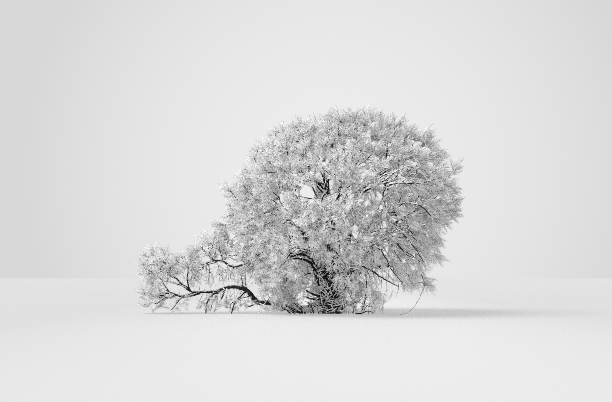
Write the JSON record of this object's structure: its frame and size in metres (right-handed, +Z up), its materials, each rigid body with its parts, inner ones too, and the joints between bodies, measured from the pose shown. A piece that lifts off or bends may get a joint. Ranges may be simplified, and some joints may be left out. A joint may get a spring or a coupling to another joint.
{
  "type": "winter tree",
  "caption": "Bare old willow white with rime: a short stout trunk, a round crown of fine twigs that nearly reaches the ground, and a fallen limb growing on in arches.",
  "frame": {"origin": "middle of the flat cut under the trunk, at ground level", "axes": "+Z up, +X along the tree's longest extent to the viewer's right, away from the fallen limb, +Y away from the viewer"},
  "size_m": [15.9471, 11.9121, 9.8723],
  "materials": {
    "bark": "rough dark bark with rime on the upper side",
    "rimed_twigs": "matt pale rime on fine twigs"
  },
  "bodies": {
    "root": {"bough_back_high": "bark", "bough_back_left": "bark", "bough_back_right": "bark", "bough_centre": "bark", "bough_front_high": "bark", "bough_front_left": "bark", "bough_front_right": "bark", "bough_left_arch": "bark", "bough_left_high": "bark", "bough_right_high": "bark", "bough_right_low": "bark", "bough_right_mid": "bark", "crown_foot": "rimed_twigs", "crown_high_1": "rimed_twigs", "crown_high_2": "rimed_twigs", "crown_high_3": "rimed_twigs", "crown_high_4": "rimed_twigs", "crown_high_5": "rimed_twigs", "crown_low_1": "rimed_twigs", "crown_low_2": "rimed_twigs", "crown_low_3": "rimed_twigs", "crown_low_4": "rimed_twigs", "crown_low_5": "rimed_twigs", "crown_low_6": "rimed_twigs", "crown_low_7": "rimed_twigs", "crown_mid_1": "rimed_twigs", "crown_mid_2": "rimed_twigs", "crown_mid_3": "rimed_twigs", "crown_mid_4": "rimed_twigs", "crown_mid_5": "rimed_twigs", "crown_mid_6": "rimed_twigs", "crown_mid_7": "rimed_twigs", "crown_skirt_1": "rimed_twigs", "crown_skirt_2": "rimed_twigs", "crown_skirt_3": "rimed_twigs", "crown_skirt_4": "rimed_twigs", "crown_skirt_5": "rimed_twigs", "crown_top": "rimed_twigs", "fallen_arch": "bark", "fallen_back": "bark", "fallen_butt": "bark", "fallen_fork_high": "bark", "fallen_fork_low": "bark", "fallen_low": "rimed_twigs", "fallen_prop_inner": "bark", "fallen_prop_outer": "bark", "fallen_top": "rimed_twigs", "fallen_under": "rimed_twigs", "limb_left": "bark", "sucker_thicket": "rimed_twigs", "trunk": "bark", "wing_hanging": "rimed_twigs", "wing_inner": "rimed_twigs", "wing_outer": "rimed_twigs"}
  },
  "joints": []
}
